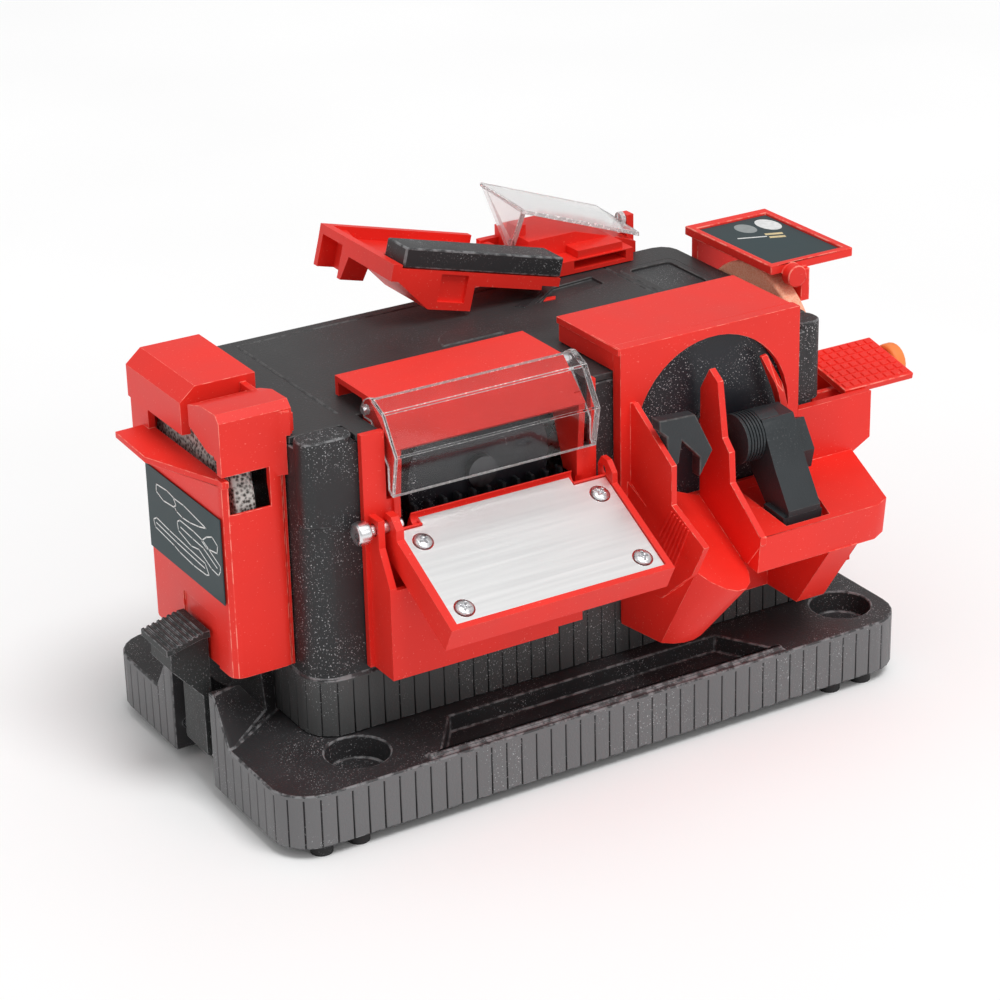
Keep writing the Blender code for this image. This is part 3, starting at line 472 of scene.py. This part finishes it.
def turned(name, axis, centre, profile, sides, bored=False):
    """A turned solid; its profile lists (radius, place along the axis)."""
    first, second = [v for k, v in zip("xyz", centre) if k != axis]
    angles = [2 * math.pi * (i + 0.5) / sides for i in range(sides)]
    rings = []
    for radius, along in profile:
        circle = [(first + radius * math.cos(a), second + radius * math.sin(a)) for a in angles]
        rings.append([to_space(axis, along, *point) for point in circle])
    return rings_mesh(name, rings, bored)


def arc(centre, radius, start, end, steps):
    """Points along an arc; its ends are angles in degrees."""
    angles = [math.radians(start + (end - start) * i / steps) for i in range(steps + 1)]
    return [(centre[0] + radius * math.cos(a), centre[1] + radius * math.sin(a)) for a in angles]


def rounded(x0, x1, y0, y1, r, steps=5):
    """The outline of a rectangle with round corners."""
    return (arc((x1 - r, y1 - r), r, 0, 90, steps) + arc((x0 + r, y1 - r), r, 90, 180, steps)
            + arc((x0 + r, y0 + r), r, 180, 270, steps) + arc((x1 - r, y0 + r), r, 270, 360, steps))


def turn_mesh(mesh, axis, degrees, centre):
    """Turn a mesh about a line along an axis through a point."""
    pivot = at(centre)
    mesh.transform(Matrix.Translation(pivot) @ Matrix.Rotation(math.radians(degrees), 4, axis)
                   @ Matrix.Translation(-pivot))
    return mesh


def level(piece):
    """Keep big faces flat under smooth shading."""
    made = piece.modifiers.new("level", "WEIGHTED_NORMAL")
    made.weight = 100
    made.keep_sharp = True
    return piece


def bevel(piece, width, segments=2, angle=28, material=-1, clamp=False):
    """Round the edges that turn by more than an angle; the width is in millimetres."""
    made = piece.modifiers.new("bevel", "BEVEL")
    made.width = width * MM
    made.segments = segments
    made.limit_method = "ANGLE"
    made.angle_limit = math.radians(angle)
    made.use_clamp_overlap = clamp
    made.material = material
    piece.data.shade_smooth()
    return level(piece)


def apply(piece):
    """Replace a piece's mesh with what its modifiers make of it."""
    bpy.context.view_layer.update()
    seen = piece.evaluated_get(bpy.context.evaluated_depsgraph_get())
    mesh = bpy.data.meshes.new_from_object(seen)
    piece.modifiers.clear()
    piece.data = mesh
    return piece


def carve(piece, *meshes, operation="DIFFERENCE"):
    """Cut meshes from a piece, or join them to it."""
    for mesh in meshes:
        tool = new_object("tool", mesh, piece.data.materials[0])
        made = piece.modifiers.new("carve", "BOOLEAN")
        made.operation = operation
        made.solver = "EXACT"
        made.object = tool
        apply(piece)
        bpy.data.objects.remove(tool)
    return piece


def stand_for(piece, node):
    """Let a piece ride with a CAD node's body in place of the node, which is hidden."""
    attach(piece, frame["nodes"][node]["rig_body"])
    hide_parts(node)
    return piece


def detail(piece, node):
    """A small extra piece that rides with a CAD node's body."""
    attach(piece, frame["nodes"][node]["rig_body"])
    return piece


def copy_node(node, step=STEP):
    """A clean copy of a CAD node, its flat faces merged, ready to bevel."""
    bm = bmesh.new()
    bm.from_mesh(frame["nodes"][node].data)
    bmesh.ops.remove_doubles(bm, verts=bm.verts, dist=step * MM)
    bmesh.ops.dissolve_limit(bm, angle_limit=math.radians(1.5), verts=bm.verts, edges=bm.edges)
    mesh = bpy.data.meshes.new(node + "_look")
    bm.to_mesh(mesh)
    bm.free()
    return new_object(node + "_look", mesh, finish_of(node))


def triangles(piece):
    """Split a piece's faces, so that a bevel can't fold the big ones."""
    bm = bmesh.new()
    bm.from_mesh(piece.data)
    bmesh.ops.triangulate(bm, faces=bm.faces, quad_method="BEAUTY", ngon_method="BEAUTY")
    bm.to_mesh(piece.data)
    bm.free()


def rimmed(piece, width, segments=2, angle=28, clamp=False):
    """Bevel a piece; the bevel takes its plastic's painted edge highlight, if it has one."""
    # the bevel faces get the painted highlight material
    rim = RIM_HIGHLIGHTS.get(piece.data.materials[0].name)
    if rim:
        piece.data.materials.append(rim)
    return bevel(piece, width, segments, angle, 1 if rim else -1, clamp)


def polished(node, width, segments=2, angle=28, cuts=(), late_cuts=(), clamp=False,
             step=STEP, split=False):
    """Stand for a node with a bevelled copy; late cuts are made after the bevel and stay crisp.

    clamp narrows the bevel where edges are short, and split parts the faces before it.
    """
    piece = copy_node(node, step)
    if cuts:
        carve(piece, *cuts)
    if split:
        triangles(piece)
    rimmed(piece, width, segments, angle, clamp)
    if late_cuts:
        piece.modifiers.remove(piece.modifiers["level"])
        apply(piece)
        carve(piece, *late_cuts)
        piece.data.set_sharp_from_angle(angle=math.radians(35))
        level(piece)
    return stand_for(piece, node)


for name, thing in frame["nodes"].items():
    thing.data.materials.clear()
    thing.data.materials.append(finish_of(name))

# ---------------------------------------------------------------- moulded shells

def around(x0, x1, y0, y1, r, pitch):
    """Points and outward directions at an even pitch round a rounded rectangle."""
    straights = [((x0 + r, y0), (x1 - r, y0)), ((x1, y0 + r), (x1, y1 - r)),
                 ((x1 - r, y1), (x0 + r, y1)), ((x0, y1 - r), (x0, y0 + r))]
    centres = [(x1 - r, y0 + r), (x1 - r, y1 - r), (x0 + r, y1 - r), (x0 + r, y0 + r)]
    places = []
    for side, ((ax, ay), (bx, by)) in enumerate(straights):
        facing = math.radians(90 * side - 90)
        length = math.hypot(bx - ax, by - ay)
        count = round(length / pitch)
        for i in range(count):
            t = (i + 0.5) / count
            places.append((ax + (bx - ax) * t, ay + (by - ay) * t, facing))
        count = round(r * math.pi / 2 / pitch)
        for i in range(count):
            turn = facing + math.pi / 2 * (i + 0.5) / count
            middle_x, middle_y = centres[side]
            places.append((middle_x + r * math.cos(turn), middle_y + r * math.sin(turn), turn))
    return places


def flutes(places, low, high_at, depth, width):
    """One mesh of thin wedges, which cuts upright grooves into a wall."""
    lead = 0.4
    wide, narrow = width * 0.7, width * 0.2
    section = ((wide, lead), (-wide, lead), (-narrow, -depth), (narrow, -depth))
    bm = bmesh.new()
    for x, y, turn in places:
        out = Vector((math.cos(turn), math.sin(turn)))
        side = Vector((-out.y, out.x))
        corners = [Vector((x, y)) + side * across + out * along for across, along in section]
        rows = [[bm.verts.new(at((*corner, z))) for corner in corners] for z in (low, high_at(x, y))]
        walls(bm, *rows)
        bm.faces.new(rows[0])
        bm.faces.new(rows[1])
    return baked(bm, "flutes")


def base_groove_top(x, y):
    """The grooves run higher on the raised block at the left end."""
    block_groove_top, groove_top = 42.6, 22.4
    return block_groove_top if x < 1 and 53 < y < 124 else groove_top


def skirt_groove_top(x, y):
    """The skirt's grooves all end at one height."""
    return 49.6


def louvre(left, row):
    """A vent slot in the rear wall, in one of eight rows."""
    low = 98 + 5.5 * row
    return block("louvre", (left, 158.6, low), (left + 26, 165, low + 2.4))


louvres = [louvre(left, row) for left in (104, 136) for row in range(8)]
skirt_flutes = flutes(around(*SKIRT_SPAN, SKIRT_CORNER, pitch=7.2), 20, skirt_groove_top,
                      depth=0.6, width=0.9)
base_flutes = flutes(around(*BASE_SPAN, BASE_CORNER, pitch=7.3), -3, base_groove_top,
                     depth=0.75, width=1.0)
polished("main_housing", 0.7, late_cuts=[*louvres, skirt_flutes])
polished("knife_module", 0.22, split=True)
for node in ("drill_v_block", "rear_housing", "switch_bezel"):
    polished(node, 0.6, clamp=True)
polished("chisel_housing", 0.45, clamp=True)
polished("chisel_tray", 0.8, segments=3, clamp=True)
polished("drill_housing", 0.18, split=True)
polished("rear_rest", 0.5, clamp=True)
polished("rear_bar", 0.9, segments=3)
polished("right_guard", 0.5, split=True)
polished("switch_rocker", 0.5)
polished("tray_bolt", 0.7, segments=3)
polished("clamp_knob", 0.8, segments=3, clamp=True)
polished("cord_gland", 0.5)
polished("left_wheel", 0.7)
polished("right_wheel", 0.7)
polished("drill_disc", 0.5)
polished("chisel_disc", 0.5)
for foot in ("foot_front_left", "foot_front_right", "foot_rear_left", "foot_rear_right"):
    polished(foot, 0.8, segments=3, clamp=True)
polished("base_plate", 0.8, late_cuts=[base_flutes])
polished("steel_plate", 0.22, clamp=True, step=FINE_STEP)


def plate_screw(number, x, reach):
    """A cross-recess pan head sunk in its clearance hole."""
    y, z = PLATE_BACK
    centre = (x, y - reach, 0)
    profile = [(1.3, z - 3.2), (1.3, z - 1.1), (3.6, z - 1.1), (3.9, z - 0.8),
               (3.9, z + 0.7), (3.6, z + 1.3), (2.9, z + 1.7), (1.6, z + 1.9)]
    head = turned("screw", "z", centre, profile, sides=32)
    piece = new_object("plate_screw_look_%d" % number, head, STEEL)
    arm, half = 2.1, 0.45
    cross = []
    for i in range(4):
        turn = math.radians(90 * i + 20 * number)
        for a, b in ((arm, -half), (arm, half), (half, half)):
            cross.append((centre[0] + a * math.cos(turn) - b * math.sin(turn),
                          centre[1] + a * math.sin(turn) + b * math.cos(turn)))
    carve(piece, prism("recess", "z", z + 0.5, z + 4, cross))
    turn_mesh(piece.data, "X", PLATE_TILT, (0, y, z))
    bevel(piece, 0.12)
    stand_for(piece, "plate_screw_%d" % number)


def release_lever():
    """Rows of grip grooves run across the foot-shaped pad."""
    first, pitch, slope = -13.6, 2.35, 0.25
    grooves = []
    for i in range(7):
        x = first + pitch * i
        top = 66.1 + (x + 15.5) * slope
        outline = [(x - 0.75, top + 0.6), (x + 0.75, top + 0.6),
                   (x + 0.45, top - 0.75), (x - 0.45, top - 0.75)]
        grooves.append(prism("groove", "y", 70, 102, outline))
    polished("release_lever", 0.25, cuts=grooves)


def top_cover():
    """Grooves, a half-disc rise and a framed textured plate mark the cover's top."""
    bottom, above = COVER_TOP - 0.3, COVER_TOP + 1
    cuts = [block("groove", (61.5, 64, bottom), (62.5, 154.6, above)),
            block("groove", (61.5, 153.6, bottom), (247, 154.6, above)),
            block("groove", (246, 101, bottom), (247, 154.6, above)),
            block("groove", (246, 100.2, bottom), (284, 101.2, above))]
    half = prism("rise", "z", 155.6, 156.7, arc((150.5, 104), 15, 0, 180, 16))
    rim = prism("rise", "z", 155.6, 156.6, rounded(249.5, 278.5, 103.5, 142.5, 4))
    hole = prism("hole", "z", 155.0, 158, rounded(253, 275, 107, 139, 3))
    piece = copy_node("top_cover")
    carve(piece, *cuts)
    carve(piece, half, rim, operation="UNION")
    carve(piece, hole)
    rimmed(piece, 0.4)
    stand_for(piece, "top_cover")
    outline = rounded(253.3, 274.7, 107.3, 138.7, 3)
    rough = new_object("cover_texture", prism("rough", "z", 154.6, 155.7, outline), PEBBLED)
    detail(bevel(rough, 0.3), "top_cover")
    outline = [(186, 128.5), (189, 124.5), (205, 136), (203, 140)]
    strip = new_object("cover_strip", prism("rough", "z", COVER_TOP, 156.5, outline), PEBBLED)
    detail(bevel(strip, 0.2), "top_cover")
    outline = [(201, 128.6), (207, 128.2), (209, 131), (204.5, 131.8)]
    flag = new_object("slot_flag", prism("flag", "z", 154.7, 155.9, outline), RED)
    detail(bevel(flag, 0.3), "drill_housing")


def grip_ribs():
    """Seven slanted grip ribs on the outer face of the drill channel's left cheek."""
    for i in range(7):
        part = i / 6
        low = (11.0 - 9.6 * part, 91.0 - 13.0 * part)
        high = (1.5 - 12.0 * part, 105.5 - 4.0 * part)
        along = math.hypot(high[0] - low[0], high[1] - low[1])
        half = 0.45
        side = (half * (high[1] - low[1]) / along, -half * (high[0] - low[0]) / along)
        outline = [(low[0] - side[0], low[1] - side[1]), (low[0] + side[0], low[1] + side[1]),
                   (high[0] + side[0], high[1] + side[1]), (high[0] - side[0], high[1] - side[1])]
        piece = new_object("grip_rib_%d" % (i + 1), prism("rib", "x", 183.2, 184.4, outline), RED)
        detail(bevel(piece, 0.2), "drill_housing")


def drill_guide():
    """Fine rings are turned into the barrel's left end."""
    barrel_centre = (0, 22, 120)
    floor_radius, past_radius = 10.3, 12.5
    rings = []
    for i in range(6):
        x = 230.4 + 1.5 * i
        profile = [(floor_radius, x), (past_radius, x),
                   (past_radius, x + 0.6), (floor_radius, x + 0.6)]
        rings.append(turned("ring", "x", barrel_centre, profile, sides=40, bored=True))
    polished("drill_guide", 0.4, late_cuts=rings, clamp=True)


def right_tray():
    """Small square pads cover the tray's sloping top."""
    polished("right_tray", 0.4)
    foot_z, top_z = 120.8, 121.5
    bm = bmesh.new()
    for column in range(8):
        for row in range(7):
            x, y = 301.2 + 4.55 * column, 39.6 + 4.45 * row
            foot = ((x, y), (x + 3.7, y), (x + 3.7, y + 3.6), (x, y + 3.6))
            top = ((x + 0.3, y + 0.3), (x + 3.4, y + 0.3), (x + 3.4, y + 3.3), (x + 0.3, y + 3.3))
            low = [bm.verts.new(at((a, b, foot_z))) for a, b in foot]
            high = [bm.verts.new(at((a, b, top_z))) for a, b in top]
            closed_box(bm, low, high)
    mesh = turn_mesh(baked(bm, "pads"), "X", SIDE_TILT, (0, *SIDE_TURN))
    detail(bevel(new_object("tray_pads", mesh, RED), 0.15, segments=1), "right_tray")


def sheet(node):
    """A clear moulding whose narrow faces and bevels carry a painted highlight."""
    piece = copy_node(node)
    # The narrow faces and the bevels take the painted edge highlight.
    piece.data.materials.append(SHEET_EDGE_HIGHLIGHT)
    narrow = 2.6 * MM
    for polygon in piece.data.polygons:
        longest = max((piece.data.vertices[a].co - piece.data.vertices[b].co).length
                      for a, b in polygon.edge_keys)
        if polygon.area / longest < narrow:
            polygon.material_index = 1
    triangles(piece)
    bevel(piece, 0.3, material=1)
    stand_for(piece, node)


def line_art(name, plane, finish, paths, width):
    """Thin printed lines; plane turns (across, up, lift) into a point."""
    sunk, proud = 0.04, 0.05
    bm = bmesh.new()
    for path in paths:
        for (a0, b0), (a1, b1) in zip(path, path[1:]):
            length = math.hypot(a1 - a0, b1 - b0)
            u, v = (a1 - a0) / length, (b1 - b0) / length
            half = width / 2
            a0, b0, a1, b1 = a0 - u * half, b0 - v * half, a1 + u * half, b1 + v * half
            corners = [(a0 - v * half, b0 + u * half), (a0 + v * half, b0 - u * half),
                       (a1 + v * half, b1 - u * half), (a1 - v * half, b1 + u * half)]
            low = [bm.verts.new(at(plane(a, b, -sunk))) for a, b in corners]
            high = [bm.verts.new(at(plane(a, b, proud))) for a, b in corners]
            closed_box(bm, low, high)
    return new_object(name, baked(bm, name), finish)


def loop(points):
    return points + points[:1]


def left_label():
    """Outlines of a knife, a chisel and shears."""
    knife = loop([(116.9, 119.8), (106.3, 120.6), (99.7, 119.6), (90.6, 119.8), (70.2, 117.4),
                  (76.9, 115.6), (85.5, 114.1), (92.7, 113.6), (98.1, 114.4), (99.7, 115.5),
                  (110.9, 114.5), (117.4, 116.4)])
    chisel = loop([(122.3, 101.8), (118.9, 103.7), (106.6, 102.5), (87.3, 101.3), (73.2, 100.6),
                   (70.2, 96.6), (72.7, 95.6), (84.6, 95.2), (97.8, 96.1), (102.5, 97.1),
                   (120.9, 98.8)])
    blades = loop([(98.2, 109.8), (95.5, 111.4), (82.3, 111.3), (74.1, 110.5), (58.9, 104.9),
                   (58.9, 102.7), (61, 100.0), (67.3, 100.6), (78.5, 104.8), (85.8, 103.6),
                   (97.5, 106.0)])
    bows = loop([(75.4, 110.0), (70.9, 108.3), (61.1, 109.8), (60.2, 113.4), (65, 115.6),
                 (70.3, 113.5)])
    inner = [(95, 108.4), (84, 107.6), (74, 107.2), (62, 103)]
    spine = [(119.5, 101.2), (100, 99.6), (74, 98.2)]
    handle = [(100.2, 119.2), (98.2, 117), (100.2, 115.8)]

    def plane(y, z, lift):
        return (LEFT_LABEL_FACE - lift, y, z)

    paths = [knife, chisel, blades, bows, inner, spine, handle]
    art = line_art("left_label_art", plane, WHITE_INK, paths, width=0.55)
    detail(art, "knife_label")
    polished("knife_label", 0.15, segments=1, angle=40)


def right_label():
    """Two discs, a drill and the jaws that hold it."""
    def plane(x, y, lift):
        return (x, y, RIGHT_LABEL_TOP + lift)

    def disc(name, centre, across, deep, finish):
        points = [(centre[0] + across * math.cos(t), centre[1] + deep * math.sin(t))
                  for t in (2 * math.pi * i / 40 for i in range(40))]
        mesh = prism(name, "z", RIGHT_LABEL_TOP - 0.1, 169.66, points)
        detail(new_object(name, mesh, finish), "right_label")

    polished("right_label", 0.15, segments=1, angle=40)
    disc("label_disc_pale", (320, 124), 5.2, 8.0, WHITE_INK)
    disc("label_disc_grey", (308, 125), 4.6, 6.5, GREY_INK)
    turns = [2 * math.pi * i / 24 for i in range(25)]
    rings = [[(308 + r * math.cos(t), 125 + 1.4 * r * math.sin(t)) for t in turns]
             for r in (1.4, 2.8, 3.9)]
    detail(line_art("label_rings", plane, WHITE_INK, rings, width=0.25), "right_label")
    drill = [[(297.5, 115.6), (309.3, 111.1)]]
    detail(line_art("label_drill", plane, WHITE_INK, drill, width=1.1), "right_label")
    jaws = [[(311.8, 113.2), (317.4, 111.1)], [(311.2, 108.8), (316.0, 107.0)]]
    detail(line_art("label_drill_holder", plane, GOLD_INK, jaws, width=2.4), "right_label")


def comb():
    """Upright fins stand in the dark mouth behind the chisel tray."""
    first, pitch, thick = 77, 7.0, 1.6
    for i in range(12):
        x = first + pitch * i
        fin = block("fin", (x, 41.2, 93), (x + thick, 45.6, 118))
        piece = new_object("comb_fin_%d" % (i + 1), fin, SMOOTH_BLACK)
        detail(bevel(piece, 0.3), "main_housing")


for count, (across, down) in enumerate(((77, 7.5), (161.5, 7.5), (77, 43.5), (161.5, 43.5)), 1):
    plate_screw(count, across, down)
release_lever()
top_cover()
grip_ribs()
drill_guide()
right_tray()
sheet("chisel_visor")
sheet("rear_visor")
left_label()
right_label()
comb()

# ---------------------------------------------------------------- light, floor and camera

def floor():
    reach = 4000
    mesh = block("floor", (-reach, -reach, -25), (reach, reach, -FOOT_DROP))
    n = Nodes("pale_floor")
    broad = n.noise(3, 2)
    pale = n.ramp(broad, (0.3, (0.965, 0.965, 0.965)), (0.7, (0.98, 0.98, 0.98)))
    n.finish(pale, span(n, broad, 0.6, 0.75))
    piece = new_object("floor", mesh, n.material)


def lamp(name, place, target, size, power):
    """A round soft light; its places and size are metres in the frame."""
    light = bpy.data.lights.new(name, "AREA")
    light.shape = "DISK"
    light.size = size
    light.energy = power
    holder = bpy.data.objects.new(name, light)
    bpy.context.scene.collection.objects.link(holder)
    holder.location = place
    holder.rotation_euler = (Vector(target) - Vector(place)).to_track_quat("-Z", "Y").to_euler()


def sun(name, toward, strength, softness):
    """A distant light from the direction given, softened by an angle in degrees."""
    light = bpy.data.lights.new(name, "SUN")
    light.energy = strength
    light.angle = math.radians(softness)
    holder = bpy.data.objects.new(name, light)
    bpy.context.scene.collection.objects.link(holder)
    holder.location = (0, 0, 2)
    holder.rotation_euler = Vector(toward).to_track_quat("Z", "Y").to_euler()


def camera():
    """The photograph's view: its place in the CAD's millimetres and its three angles."""
    place = (-437.8, -909.0, 606.1)
    azimuth, elevation, roll = (math.radians(a) for a in (-30.62, 24.165, -1.297))
    level_part = math.cos(elevation)
    back = Vector((math.sin(azimuth) * level_part, -math.cos(azimuth) * level_part,
                   math.sin(elevation)))
    right = (-back).cross(Vector((0, 0, 1))).normalized()
    up = right.cross(-back)
    turned_right = right * math.cos(roll) + up * math.sin(roll)
    turned_up = up * math.cos(roll) - right * math.sin(roll)
    data = bpy.data.cameras.new("camera")
    data.sensor_width = 36.0
    data.lens = 105.19
    data.clip_end = 20
    holder = bpy.data.objects.new("camera", data)
    bpy.context.scene.collection.objects.link(holder)
    frame_matrix = Matrix((turned_right, turned_up, back)).transposed().to_4x4()
    holder.matrix_world = Matrix.Translation(at(place)) @ frame_matrix
    bpy.context.scene.camera = holder


floor()
machine_middle = (0, 0, 0.08)
sun("key", (0.12, -0.42, 1.0), strength=1.55, softness=26)
lamp("front_glow", (0.7, -1.9, 1.1), machine_middle, size=0.9, power=3.5)
lamp("left_glow", (-1.9, 0.2, 1.0), machine_middle, size=0.8, power=2.0)
camera()
world = bpy.data.worlds.new("studio")
world.use_nodes = True
world.node_tree.nodes["Background"].inputs["Color"].default_value = (1, 1, 1, 1)
world.node_tree.nodes["Background"].inputs["Strength"].default_value = 0.57
bpy.context.scene.world = world
bpy.context.scene.view_settings.view_transform = "Standard"
